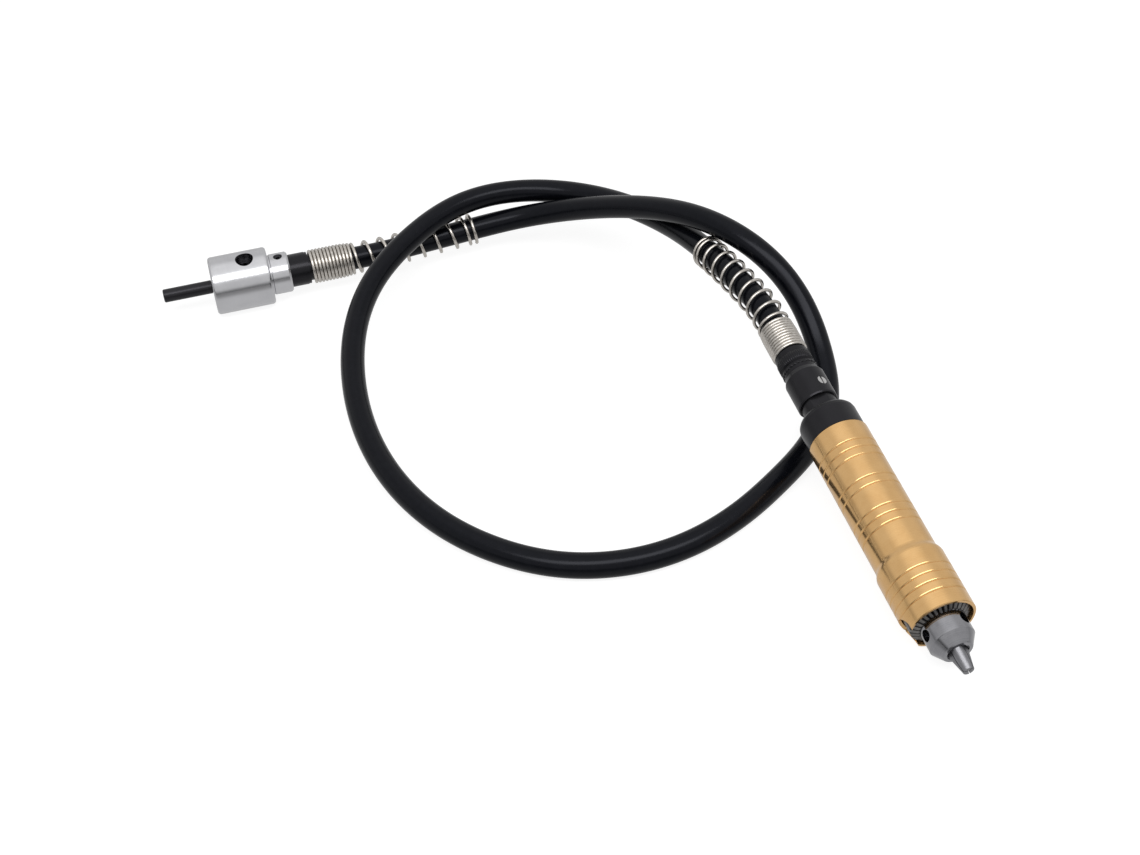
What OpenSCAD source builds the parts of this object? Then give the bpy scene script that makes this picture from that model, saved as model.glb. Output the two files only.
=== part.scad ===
// Flexible-shaft rotary tool: a drive coupler with a round shaft, a sheathed
// flexible shaft with a wire strain-relief spring at each end, and a slim
// handpiece with a keyed three-jaw chuck.
// +Z is up and the floor is z = 0. The coupler's axis runs along +X, and the
// handpiece lies with its nose toward -Y. Sizes are in millimetres.

/* [Drive coupler] */
// Diameter of the drive shaft
shaft_d = 6; // [5:0.5:6.5]
// Length of the drive shaft in front of the coupler
shaft_out = 22; // [16:1:40]
// Diameter of the coupler body
coupler_d = 26; // [24:0.5:30]
// Length of the coupler body's wide part
coupler_len = 26.3; // [24:0.1:32]
// Diameter of the coupler's neck
neck_d = 18.4; // [17.4:0.2:20]
// Length of the coupler's neck
neck_len = 8.9; // [8.5:0.1:14]
// Diameter of the hole that reaches the hub screw
access_hole_d = 8; // [5:0.5:9]
// Diameter of the ferrule collar behind the coupler
drive_collar_d = 14.8; // [14.4:0.2:17]
// Length of the ferrule collar behind the coupler
drive_collar_len = 8.6; // [6:0.2:14]

/* [Flexible shaft] */
// Outer diameter of the sheath
sheath_d = 10.2; // [9:0.2:10.4]
// Diameter of the wound steel core
core_d = 4; // [3:0.2:4.4]
// Wire diameter of the strain-relief springs
wire_d = 1; // [0.8:0.1:1.1]
// Closed turns at the ferrule end of each spring
closed_turns = 11.5; // [8:0.5:12]
// Open turns of each spring
open_turns = 7; // [4:1:7]
// Pitch of the open turns
open_pitch = 7.4; // [5:0.1:7.6]

/* [Handpiece] */
// Length of the grip
grip_len = 88.8; // [84:0.4:104]
// Diameter of the grip
grip_d = 24.5; // [23.5:0.1:26]
// Diameter of the flared nose of the grip
flare_d = 26.8; // [26.6:0.1:29]
// Diameter of the cap behind the grip
cap_d = 23.6; // [22:0.2:24.2]
// Length of the cap behind the grip
cap_len = 12.8; // [11:0.1:15]
// Diameter of the lock sleeve
sleeve_d = 16.4; // [16.2:0.2:18]
// Radius of the chuck-key notch in the rim
notch_r = 8; // [5:0.5:9]

/* [Chuck] */
// Diameter of the chuck's nose
nose_d = 17.6; // [17.2:0.2:18]
// Diameter of each jaw
jaw_d = 4.6; // [4:0.1:4.6]
// Teeth on the chuck ring
ring_teeth = 30; // [20:1:36]
// Diameter of the chuck-key holes
key_hole_d = 4.6; // [3:0.1:4.8]

/* [Hidden] */

// Facets of round pieces, and the overshoot of cuts
$fn = 96;
cut = 0.5;
up = [0, 0, 1];

// Radial clearances: a fixed seat, a running fit, and free faces
seat_fit = 0.02;
run_fit = 0.05;
free_gap = 0.3;

// Coupler, measured along its axis from the front face
coupler_r = coupler_d / 2;
shaft_r = shaft_d / 2;
// Journal inside the bush; the shaft outside it is thicker, and leaves a shoulder
journal_r = shaft_r - 0.5;
journal_relief = 0.3;
neck_r = neck_d / 2;
neck_end = coupler_len + neck_len;
collar_end = neck_end + drive_collar_len;
edge_round = 1.4;
bush_r = shaft_r + 2;
bush_len = 8;
bush_flange_r = 6.5;
bush_flange = 1.2;
spigot_bore_r = bush_flange_r + 0.1;
spigot_r = spigot_bore_r - run_fit;
hub_r = 6.2;
hub_start = bush_len + bush_flange + free_gap;
hub_end = coupler_len + 0.5;
cavity_r = 7.5;
cavity_end = hub_end + 1;
spigot_start = cavity_end + 0.8;
terminal_r = core_d / 2 + 0.25;
terminal_start = 13;
terminal_end = coupler_len + 4.5;
hub_screw_at = 16.2;
hub_screw_angle = 8;
neck_screw_at = coupler_len + 4.6;
set_screw_d = 4;
ferrule_bore_r = core_d / 2 + 1.2;

// Sheath and springs
sheath_r = sheath_d / 2;
core_r = core_d / 2;
wire_r = wire_d / 2;
liner_r = 3.6;
liner_bore_r = 2.7;
sheath_bore_r = liner_r + 0.1;
sheath_sides = 12;
core_sides = 8;
wire_sides = 6;
curl_rings = 8;
// Length of sheath held in each ferrule, up to the spring's shoulder
sheath_seat = 6.6;
tail_len = 12.4;
tail_r = sheath_r + run_fit + 0.85;
chord = cos(180 / curl_rings);
closed_r = (tail_r + 0.1 + wire_r) / chord;
spring_open_r = (sheath_r + 0.4 + wire_r) / chord;
easing_pitch = 2.4;
end_turns = 1.4;
// Closed turns of each spring, their pitch and the pitch of its open turns
drive_lay = [closed_turns, wire_d + 0.6, open_pitch];
handle_lay = [closed_turns - 0.75, wire_d + 0.45, open_pitch - 0.3];
// Angle at which each spring's wire starts
drive_start = 200;
handle_start = 258;

// Handpiece, measured along its axis from the back edge of the grip to the nose
tilt = 8.8;
yaw = 3.8;
grip_r = grip_d / 2;
flare_r = flare_d / 2;
cap_r = cap_d / 2;
cap_round = 3.2;
handle_at = [112, -50.5, grip_len * sin(tilt) + flare_r * cos(tilt)];
neck_out = 6.2;
sleeve_len = 15.6;
sleeve_front = -cap_len - neck_out;
sleeve_back = sleeve_front - sleeve_len;
handle_collar_len = 11.1;
handle_collar_r = 7;
shoulder = sleeve_back - handle_collar_len;
sleeve_r = sleeve_d / 2;
sleeve_chamfer = 2.2;
rear_neck_r = 7.2;
rear_neck_bore_r = 5;
rear_neck_back = sleeve_front - 9.5;
rear_neck_front = -4;
wrench_flat = 6.3;
wrench_angle = 100;
handle_spigot_r = 6.9;
sleeve_screw_at = sleeve_front - 6;
sleeve_screw_angle = 66;
sleeve_screw_d = 4;
// Radius of the flat that the sleeve's screw presses on
screw_seat_r = rear_neck_r - 0.9;
cap_spigot_r = 9.95;
cap_spigot = 2;
cap_bore_r = 6.2;
bearing_r = 9.5;
bearing_bore_r = 4;
bearing_w = 6;
race_r = 1.5;
race_pitch_r = (bearing_r + bearing_bore_r) / 2;
race_gap = 1.1;
ball_r = 1.35;
balls = 9;
washer_space = 1;
washer_t = 0.4;
rear_bearing_at = cap_spigot + washer_space;
front_bearing_at = grip_len - 36;
between_bore_r = 9;
circlip_t = 1.1;
circlip_r = 10.05;
circlip_bore_r = 8.3;
circlip_at = front_bearing_at + bearing_w + 0.05;
land_len = 3.4;
nose_cavity_r = flare_r - 1.15;
nose_cavity_at = circlip_at + circlip_t + land_len;
groove_w = 0.35;
groove_depth = 0.25;
groove_pitch = 3.8;
// First groove and number of grooves of each group on the grip
groove_groups = [[9.6, 3], [27.3, 2], [41.3, 3]];
flare_grooves = 4;
flare_groove_at = grip_len - 17.9;
flare_from = grip_len - 29.2;
flare_to = grip_len - 25.4;
notch_angle = 200;
spindle_shoulder_r = 5.2;
spindle_back = -10;
key_square = 4;
key_socket = key_square + 0.1;
key_shank_r = 2.4;
key_back = sleeve_back + 8;

// Chuck, measured along the handpiece axis from the back of its hub
chuck_at = grip_len - 25;
chuck_hub_r = 7;
chuck_boss_r = 5.6;
boss_back = front_bearing_at + bearing_w - chuck_at;
flange_from = 7;
flange_to = 10;
groove_from = 19.3;
groove_to = 23.7;
nose_end = 33.2;
cone_end = 37.6;
ring_end = 25.2;
ring_r = nose_cavity_r - 0.5;
nose_r = nose_d / 2;
flange_r = ring_r - 1.6;
waist_r = nose_r - 0.2;
nut_groove_r = 6.6;
ring_journal_r = flange_r + run_fit;
nut_r = nose_r + 0.8;
tip_face_r = 5.7;
mouth_r = 4.4;
chuck_bore_r = 2.2;
spindle_front = 8;
jaw_r = jaw_d / 2;
jaw_tilt = 13;
jaw_cross = 44.6;
jaw_end = 45.7;
jaw_back = 20.2;
jaw_travel = 8.4;
jaw_angle = 108;
key_hole_at = 28.7;
key_hole_floor = 4.5;
tooth_top_r = 9.4;
tooth_drop = 1.6;
tooth_cut = 1.1;

// Places of the sheath's two ends
lead_at = [-72.8, 146, coupler_r];
coupler_at = lead_at - [collar_end - sheath_seat, 0, 0];
handle_dir = [sin(yaw) * cos(tilt), -cos(yaw) * cos(tilt), -sin(tilt)];
sheath_end = shoulder + sheath_seat;
// Height of the sheath's middle where it lies on the floor
lie = 5.2;

// Route of the sheath, from the coupler to the handpiece
lead_step = 14;
free_route = [
    [-13, 148, 13], [8, 150, 13], [31, 149, 15.5], [53, 138, 22.5], [74, 114, 36],
    [93.5, 86, 47.5], [109, 62, 48.5], [122, 45, 39.5], [129, 29, 26.5], [129.5, 12, 15],
    [126.5, -4, 9], [119, -18, 6.5], [107, -31, lie], [91, -43, lie], [72, -56, lie],
    [49, -66, lie], [24, -69, lie], [-2, -63, lie], [-24, -48, lie], [-43, -26, 5.5],
    [-56, 2, 6.5], [-62, 33, 9], [-61, 65, 12.5], [-54, 95, 16.5], [-40, 120, 21],
    [-18, 139, 25], [5, 153, 27], [29, 157, 26], [54, 151, 24.5], [75, 132, 26.5],
    [88.5, 108, 29.5], [95.5, 83, 34.5], [100, 57, 38.5], [103.5, 40, 39], [106.5, 26, 38.5]
];
tail_step = 10.4;
route = concat(
    [for (i = [0:3]) lead_at + [i * lead_step, 0, 0]],
    free_route,
    [for (i = [3:-1:0]) handle_point(sheath_end - i * tail_step)]
);
spans = len(route) - 1;

function unit(v) = v / norm(v);
function handle_point(t) = handle_at + t * handle_dir;
function coupler_point(u) = coupler_at + [u, 0, 0];
function arc_points(x, z, r, from, to, steps = 4) = [
    for (i = [0:steps])
        let (a = from + (to - from) * i / steps)
            [x + r * cos(a), z + r * sin(a)]
];

// Point of the route in span i, at fraction t: a uniform cubic B-spline
function route_ctrl(i) =
    i < 0 ? 2 * route[0] - route[1]
    : i > spans ? 2 * route[spans] - route[spans - 1]
    : route[i];
function route_point(i, t) = (
    pow(1 - t, 3) * route_ctrl(i - 1)
    + (3 * pow(t, 3) - 6 * pow(t, 2) + 4) * route_ctrl(i)
    + (-3 * pow(t, 3) + 3 * pow(t, 2) + 3 * t + 1) * route_ctrl(i + 1)
    + pow(t, 3) * route_ctrl(i + 2)
) / 6;

// Rings of the sheath: one per span where it is straight, two elsewhere
straight_spans = 3;
sheath_path = concat(
    [
        for (i = [0:spans - 1])
            let (straight = i < straight_spans || i >= spans - straight_spans)
                for (j = [0:straight ? 0 : 1]) route_point(i, j / 2)
    ],
    [route_point(spans - 1, 1)]
);
core_path = concat(
    [coupler_point(terminal_end + free_gap)],
    sheath_path,
    [handle_point(key_back - free_gap)]
);

// Ring of points round each point of a path
function path_rings(path, r, sides) = [
    for (i = [0:len(path) - 1])
        let (
            ahead = unit(path[min(i + 1, len(path) - 1)] - path[max(i - 1, 0)]),
            side = unit(cross(ahead, up)),
            top = cross(side, ahead)
        )
            [for (k = [0:sides - 1]) path[i] + r * (cos(360 * k / sides) * side + sin(360 * k / sides) * top)]
];

// Triangles between neighbouring rings, starting at point number first
function wall_faces(count, sides, first = 0, flip = false) = [
    for (i = [0:count - 2])
        for (k = [0:sides - 1])
            let (
                a = first + i * sides + k,
                b = first + i * sides + (k + 1) % sides
            )
                each flip
                    ? [[a, a + sides, b], [b, a + sides, b + sides]]
                    : [[a, b, a + sides], [b, b + sides, a + sides]]
];

// Runs along a path, and a table of x, y and z by run
function path_runs(path) = [
    for (
        i = 0, run = 0;
        i < len(path);
        run = run + (i + 1 < len(path) ? norm(path[i + 1] - path[i]) : 0),
        i = i + 1
    )
        run
];
function run_table(path) =
    let (runs = path_runs(path))
        [for (axis = [0:2]) [for (i = [0:len(path) - 1]) [runs[i], path[i][axis]]]];
function at_run(table, run) = [for (axis = [0:2]) lookup(run, table[axis])];

// The two ends of the route, each from the sheath's end inward
end_spans = 12;
end_steps = 8;
drive_run = run_table([for (i = [0:end_spans - 1]) for (j = [0:end_steps - 1]) route_point(i, j / end_steps)]);
handle_run = run_table([
    for (i = [spans - 1:-1:spans - end_spans])
        for (j = [0:end_steps - 1])
            route_point(i, 1 - j / end_steps)
]);

// Distance of the wire from the ferrule shoulder, and its radius, by turn
first_rise = wire_r + free_gap;
function turns(lay) = lay[0] + 1 + open_turns + end_turns;
function closed_rise(lay) = first_rise + lay[0] * lay[1];
function open_rise(lay) = closed_rise(lay) + easing_pitch + open_turns * lay[2];
function rise(turn, lay) = lookup(turn, [
    [0, first_rise],
    [lay[0], closed_rise(lay)],
    [lay[0] + 1, closed_rise(lay) + easing_pitch],
    [lay[0] + 1 + open_turns, open_rise(lay)],
    [turns(lay), open_rise(lay) + end_turns * easing_pitch]
]);
function taper_turn(lay) = ceil((tail_len - first_rise) / lay[1]) + 1;
function coil_r(turn, lay) = lookup(turn, [
    [taper_turn(lay), closed_r],
    [lay[0] + 1, spring_open_r],
    [turns(lay), spring_open_r]
]);

// Middle of the wire at each ring, with a straight stub at both ends
function coil_frame(table, turn, lay) =
    let (
        run = sheath_seat + rise(turn, lay),
        ahead = unit(at_run(table, run + 1) - at_run(table, run - 1)),
        side = unit(cross(ahead, up)),
        top = cross(side, ahead)
    )
        [at_run(table, run), top, side];
function coil_path(table, start, lay) = [
    for (i = [0:turns(lay) * curl_rings])
        let (
            turn = i / curl_rings,
            frame = coil_frame(table, turn, lay),
            a = start + 360 * turn
        )
            frame[0] + coil_r(turn, lay) * (cos(a) * frame[1] + sin(a) * frame[2])
];
function with_stubs(path) =
    let (n = len(path) - 1)
        concat(
            [path[0] - wire_d * unit(path[1] - path[0])],
            path,
            [path[n] + wire_d * unit(path[n] - path[n - 1])]
        );
function least_gap(path) = min([
    for (i = [0:len(path) - 1])
        for (j = [i + curl_rings - 2:1:len(path) - 1])
            norm(path[i] - path[j])
]) - wire_d;

module at_coupler() translate(coupler_at) rotate([0, 90, 0]) rotate([0, 0, 180]) children();
module at_handle() translate(handle_at) rotate([0, 0, yaw]) rotate([90 + tilt, 0, 0]) children();
module at_chuck() at_handle() translate([0, 0, chuck_at]) children();
module radial(angle, at) rotate([0, 0, angle]) translate([0, 0, at]) rotate([0, 90, 0]) children();
module rod(r, from, to) translate([0, 0, from]) cylinder(r = r, h = to - from);
module turned(points) rotate_extrude() polygon(points);

// Hollow tube swept along a path
module swept_tube(path, r_out, r_in, sides) {
    count = len(path);
    inner = count * sides;
    rings = concat(path_rings(path, r_out, sides), path_rings(path, r_in, sides));
    end_faces = [
        for (k = [0:sides - 1])
            let (next = (k + 1) % sides, last = inner - sides)
                each [
                    [k, inner + k, next],
                    [next, inner + k, inner + next],
                    [last + k, last + next, inner + last + k],
                    [last + next, inner + last + next, inner + last + k]
                ]
    ];
    faces = concat(wall_faces(count, sides), wall_faces(count, sides, inner, true), end_faces);
    polyhedron([for (ring = rings) each ring], faces);
}

// Solid rod through rings of points
module swept_rod(rings, sides) {
    last = (len(rings) - 1) * sides;
    caps = [for (k = [1:sides - 2]) each [[0, k + 1, k], [last, last + k, last + k + 1]]];
    polyhedron([for (ring = rings) each ring], concat(wall_faces(len(rings), sides), caps));
}

// Spring wound round one end of the sheath
module spring(table, start, lay, name) {
    middle = coil_path(table, start, lay);
    echo(str(name, " least gap"), least_gap(middle));
    path = with_stubs(middle);
    rings = [
        for (i = [0:len(path) - 1])
            let (
                ahead = unit(path[min(i + 1, len(path) - 1)] - path[max(i - 1, 0)]),
                turn = min(max(i - 1, 0) / curl_rings, turns(lay)),
                out = path[i] - coil_frame(table, turn, lay)[0],
                side = unit(cross(ahead, out)),
                top = cross(side, ahead)
            )
                [
                    for (k = [0:wire_sides - 1])
                        path[i] + wire_r * (cos(360 * k / wire_sides) * side + sin(360 * k / wire_sides) * top)
                ]
    ];
    swept_rod(rings, wire_sides);
}

// Set screw along local Z with a hexagon socket
module set_screw(r, from, to) {
    difference() {
        rod(r, from, to);
        translate([0, 0, to - r * 0.6]) cylinder(r = r * 0.58, h = r, $fn = 6);
    }
}

// Coupler body: a turned block with a stepped bore and a neck
module coupler_body() {
    outline = concat(
        [[0, 0]],
        arc_points(coupler_r - edge_round, edge_round, edge_round, -90, 0),
        arc_points(coupler_r - edge_round, coupler_len - edge_round, edge_round, 0, 90),
        [
            [neck_r - 0.3, coupler_len],
            [neck_r - 0.3, coupler_len + 0.5],
            [neck_r, coupler_len + 0.8],
            [neck_r, neck_end - 0.8],
            [neck_r - 0.8, neck_end],
            [0, neck_end]
        ]
    );
    color("silver") at_coupler() difference() {
        turned(outline);
        rod(bush_r + seat_fit, -cut, bush_len + cut);
        rod(cavity_r, bush_len, cavity_end);
        rod(spigot_bore_r, cavity_end - cut, neck_end + cut);
        radial(hub_screw_angle, hub_screw_at) rod(access_hole_d / 2, 0, coupler_r + cut);
        radial(0, neck_screw_at) rod(set_screw_d / 2, 0, neck_r + cut);
    }
}

// Flanged bush that carries the drive shaft
module drive_bush() {
    color("goldenrod") at_coupler() difference() {
        union() {
            rod(bush_r, 0, bush_len + cut);
            rod(bush_flange_r, bush_len, bush_len + bush_flange);
        }
        rod(journal_r + run_fit, -cut, hub_start);
    }
}

// Drive shaft with the hub that clamps the core's terminal
module drive_shaft() {
    color("dimgray") at_coupler() difference() {
        union() {
            turned([
                [0, -shaft_out],
                [shaft_r - 0.4, -shaft_out],
                [shaft_r, 0.4 - shaft_out],
                [shaft_r, -journal_relief],
                [journal_r, -journal_relief],
                [journal_r, hub_start + cut],
                [0, hub_start + cut]
            ]);
            rod(hub_r, hub_start, hub_end);
        }
        rod(terminal_r + run_fit, terminal_start - 1, hub_end + cut);
        radial(hub_screw_angle, hub_screw_at) rod(set_screw_d / 2, 0, hub_r + cut);
    }
}

// Set screw that holds the terminal in the hub
module hub_screw() {
    color("gray") at_coupler() radial(hub_screw_angle, hub_screw_at)
        set_screw(set_screw_d / 2 - run_fit, terminal_r - 0.35, hub_r - 0.2);
}

// Set screw that holds the ferrule in the neck
module neck_screw() {
    color("gray") at_coupler() radial(0, neck_screw_at)
        set_screw(set_screw_d / 2 - run_fit, spigot_r - 0.3, neck_r - 1);
}

// Terminal swaged on the drive end of the core
module drive_terminal() {
    color("darkgray") at_coupler() difference() {
        rod(terminal_r, terminal_start, terminal_end);
        radial(hub_screw_angle, hub_screw_at) rod(set_screw_d / 2, terminal_r - 0.35, terminal_r + cut);
        for (at = [2, 3.5])
            translate([0, 0, terminal_end - at]) rotate_extrude() translate([terminal_r, 0]) circle(r = 0.25, $fn = 4);
    }
}

// Ferrule between the coupler's neck and the sheath
module drive_ferrule() {
    collar_r = drive_collar_d / 2;
    tail_end = collar_end + tail_len;
    color([0.1, 0.1, 0.11]) at_coupler() difference() {
        turned([
            [0, spigot_start],
            [spigot_r, spigot_start],
            [spigot_r, neck_end],
            [collar_r, neck_end],
            [collar_r, collar_end - 1.2],
            [collar_r - 0.2, collar_end - 1.2],
            [collar_r - 0.2, collar_end],
            [tail_r, collar_end],
            [tail_r, tail_end],
            [0, tail_end]
        ]);
        rod(ferrule_bore_r, spigot_start - cut, tail_end);
        rod(sheath_r + run_fit, collar_end - sheath_seat, tail_end + cut);
        radial(0, neck_screw_at) rod(set_screw_d / 2, spigot_r - 0.3, spigot_r + cut);
    }
}

module drive_spring() {
    color("lightgray") spring(drive_run, drive_start, drive_lay, "drive spring");
}

module sheath() {
    color([0.08, 0.08, 0.09]) swept_tube(sheath_path, sheath_r, sheath_bore_r, sheath_sides);
}

module sheath_liner() {
    color("gray") swept_tube(sheath_path, liner_r, liner_bore_r, core_sides);
}

module flex_core() {
    color("darkgray") swept_rod(path_rings(core_path, core_r, core_sides), core_sides);
}

module handle_spring() {
    color("lightgray") spring(handle_run, handle_start, handle_lay, "handle spring");
}

// Ferrule between the sheath and the lock sleeve
module handle_ferrule() {
    tail_end = shoulder - tail_len;
    v_groove_at = sleeve_back - 4.1;
    color([0.1, 0.1, 0.11]) at_handle() difference() {
        turned([
            [0, tail_end],
            [tail_r, tail_end],
            [tail_r, shoulder],
            [handle_collar_r, shoulder],
            [handle_collar_r, v_groove_at - 0.5],
            [handle_collar_r - 0.5, v_groove_at],
            [handle_collar_r, v_groove_at + 0.5],
            [handle_collar_r, sleeve_back],
            [handle_spigot_r, sleeve_back],
            [handle_spigot_r, rear_neck_back],
            [0, rear_neck_back]
        ]);
        rod(ferrule_bore_r, tail_end, rear_neck_back + cut);
        rod(sheath_r + run_fit, tail_end - cut, sheath_end);
    }
}

// Sleeve that locks the ferrule to the handpiece's rear neck
module lock_sleeve() {
    mouth = 0.6;
    color([0.09, 0.09, 0.1]) at_handle() difference() {
        turned([
            [0, sleeve_back],
            [sleeve_r - 0.9, sleeve_back],
            [sleeve_r, sleeve_back + sleeve_chamfer],
            [sleeve_r, sleeve_front - mouth],
            [sleeve_r - 0.3, sleeve_front],
            [0, sleeve_front]
        ]);
        rod(handle_spigot_r + run_fit, sleeve_back - cut, rear_neck_back + cut);
        rod(rear_neck_r + run_fit, rear_neck_back, sleeve_front + cut);
        radial(sleeve_screw_angle, sleeve_screw_at) rod(sleeve_screw_d / 2, 0, sleeve_r + cut);
    }
}

// Slotted grub screw of the lock sleeve
module sleeve_screw() {
    slot_w = 0.7;
    slot_depth = 0.7;
    top = sleeve_r - 0.1;
    color("silver") at_handle() radial(sleeve_screw_angle, sleeve_screw_at) difference() {
        rod(sleeve_screw_d / 2 - run_fit, screw_seat_r, top);
        translate([-sleeve_screw_d, -slot_w / 2, top - slot_depth])
            cube([2 * sleeve_screw_d, slot_w, slot_depth + cut]);
    }
}

// Rear neck with two wrench flats, screwed into the cap
module rear_neck() {
    flat_front = -cap_len - 0.2;
    color([0.09, 0.09, 0.1]) at_handle() difference() {
        rod(rear_neck_r, rear_neck_back, rear_neck_front);
        rod(rear_neck_bore_r, rear_neck_back - cut, rear_neck_front + cut);
        for (side = [0, 180])
            rotate([0, 0, wrench_angle + side])
                translate([wrench_flat, -rear_neck_r, sleeve_front])
                    cube([rear_neck_r, 2 * rear_neck_r, flat_front - sleeve_front]);
        radial(sleeve_screw_angle, sleeve_screw_at)
            rod(sleeve_screw_d / 2, screw_seat_r, rear_neck_r + cut);
    }
}

// Cap that closes the back of the grip and holds the rear bearing
module rear_cap() {
    outline = concat(
        [[0, -cap_len]],
        arc_points(cap_r - cap_round, cap_round - cap_len, cap_round, -90, 0),
        [
            [cap_r, -0.3],
            [cap_r - 0.3, 0],
            [cap_spigot_r, 0],
            [cap_spigot_r, cap_spigot],
            [0, cap_spigot]
        ]
    );
    color([0.09, 0.09, 0.1]) at_handle() difference() {
        turned(outline);
        rod(rear_neck_r + seat_fit, -cap_len - cut, rear_neck_front);
        rod(cap_bore_r, rear_neck_front - cut, cap_spigot + cut);
    }
}

function groove_points(at, r) = [[r, at - groove_w], [r - groove_depth, at], [r, at + groove_w]];

// Grip: an aluminium tube with two bearing seats, a flared nose and a key notch
module handle_shell() {
    rear_end = rear_bearing_at + bearing_w;
    flare_steps = 6;
    outline = concat(
        [[0, 0], [grip_r - 0.3, 0], [grip_r, 0.3]],
        [
            for (group = groove_groups)
                for (i = [0:group[1] - 1])
                    each groove_points(group[0] + i * groove_pitch, grip_r)
        ],
        [
            for (i = [0:flare_steps])
                [
                    grip_r + (flare_r - grip_r) * (1 - cos(180 * i / flare_steps)) / 2,
                    flare_from + (flare_to - flare_from) * i / flare_steps
                ]
        ],
        [for (i = [0:flare_grooves - 1]) each groove_points(flare_groove_at + i * groove_pitch, flare_r)],
        [[flare_r, grip_len - 0.3], [flare_r - 0.3, grip_len], [0, grip_len]]
    );
    color("goldenrod") at_handle() difference() {
        turned(outline);
        rod(cap_spigot_r + run_fit, -cut, cap_spigot);
        rod(bearing_r + seat_fit, cap_spigot - cut, rear_end);
        rod(between_bore_r, rear_end - cut, front_bearing_at + cut);
        rod(bearing_r + seat_fit, front_bearing_at, nose_cavity_at + cut);
        rod(circlip_r + run_fit, circlip_at - run_fit, circlip_at + circlip_t + run_fit);
        rod(nose_cavity_r, nose_cavity_at, grip_len + cut);
        radial(notch_angle, grip_len) rod(notch_r, nose_cavity_r - 1.5, flare_r + cut);
    }
}

// Rings of a deep-groove ball bearing whose back face is at a height
module bearing_ring(at, r_in, r_out) {
    translate([0, 0, at]) rotate_extrude() difference() {
        translate([r_in, 0]) square([r_out - r_in, bearing_w]);
        translate([race_pitch_r, bearing_w / 2]) circle(r = race_r);
    }
}

module bearing_outer(at) {
    color("lightsteelblue") at_handle() bearing_ring(at, race_pitch_r + race_gap, bearing_r);
}

module bearing_inner(at) {
    color("lightsteelblue") at_handle() bearing_ring(at, bearing_bore_r, race_pitch_r - race_gap);
}

module bearing_balls(at) {
    color("white") at_handle()
        for (i = [0:balls - 1])
            rotate([0, 0, 360 * i / balls]) translate([race_pitch_r, 0, at + bearing_w / 2]) sphere(r = ball_r, $fn = 32);
}

// Wave washer that loads the rear bearing
module wave_washer() {
    steps = 36;
    waves = 3;
    swing = (washer_space - washer_t) / 2;
    rims = [bearing_r - 1.5, bearing_r - 0.2];
    rings = [
        for (i = [0:steps - 1])
            let (
                a = 360 * i / steps,
                middle = cap_spigot + washer_space / 2 + 0.98 * swing * cos(waves * a)
            )
                [
                    for (corner = [[0, -1], [1, -1], [1, 1], [0, 1]])
                        [
                            rims[corner[0]] * cos(a),
                            rims[corner[0]] * sin(a),
                            middle + corner[1] * washer_t / 2
                        ]
                ]
    ];
    points = [for (ring = rings) each ring];
    faces = [
        for (i = [0:steps - 1])
            for (k = [0:3])
                let (
                    a = 4 * i + k,
                    b = 4 * i + (k + 1) % 4,
                    c = 4 * ((i + 1) % steps) + k,
                    d = 4 * ((i + 1) % steps) + (k + 1) % 4
                )
                    each [[a, c, b], [b, c, d]]
    ];
    color("silver") at_handle() polyhedron(points, faces);
}

// Internal circlip that holds the front bearing
module circlip() {
    gap_angle = 16;
    lug_r = 1.5;
    lug_at = circlip_bore_r - 0.2;
    lug_hole_r = 0.6;
    lug_angle = gap_angle + 9;
    color("dimgray") at_handle() translate([0, 0, circlip_at]) linear_extrude(circlip_t) difference() {
        circle(r = circlip_r);
        circle(r = circlip_bore_r);
        polygon([
            [0, 0],
            2 * circlip_r * [cos(-gap_angle), sin(-gap_angle)],
            2 * circlip_r * [cos(gap_angle), sin(gap_angle)]
        ]);
    }
    color("dimgray") at_handle() translate([0, 0, circlip_at])
        for (side = [-1, 1])
            rotate([0, 0, side * lug_angle]) translate([lug_at, 0, 0]) difference() {
                cylinder(r = lug_r, h = circlip_t);
                translate([0, 0, -cut]) cylinder(r = lug_hole_r, h = circlip_t + 2 * cut);
            }
}

// Spindle on the two bearings, with a square socket at its back
module spindle() {
    rear_end = rear_bearing_at + bearing_w;
    color("silver") at_handle() difference() {
        turned([
            [0, spindle_back],
            [bearing_bore_r - seat_fit, spindle_back],
            [bearing_bore_r - seat_fit, rear_end],
            [spindle_shoulder_r, rear_end],
            [spindle_shoulder_r, front_bearing_at],
            [bearing_bore_r - seat_fit, front_bearing_at],
            [bearing_bore_r - seat_fit, chuck_at + spindle_front],
            [0, chuck_at + spindle_front]
        ]);
        translate([-key_socket / 2, -key_socket / 2, spindle_back - cut])
            cube([key_socket, key_socket, cut - spindle_back]);
    }
}

// Square key on the handpiece end of the core
module core_key() {
    square_back = spindle_back - 4;
    color("darkgray") at_handle() {
        translate([-key_square / 2, -key_square / 2, square_back])
            cube([key_square, key_square, -square_back]);
        rod(key_shank_r, key_back, square_back);
    }
}

// Place of a jaw's own axis, with local Z running back and out along it
module along_jaw(index) {
    rotate([0, 0, jaw_angle + 120 * index]) translate([0, 0, jaw_cross]) rotate([0, 180 - jaw_tilt, 0])
        rotate([0, 0, 180]) children();
}
jaw_len = (jaw_cross - jaw_back) / cos(jaw_tilt);

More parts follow.
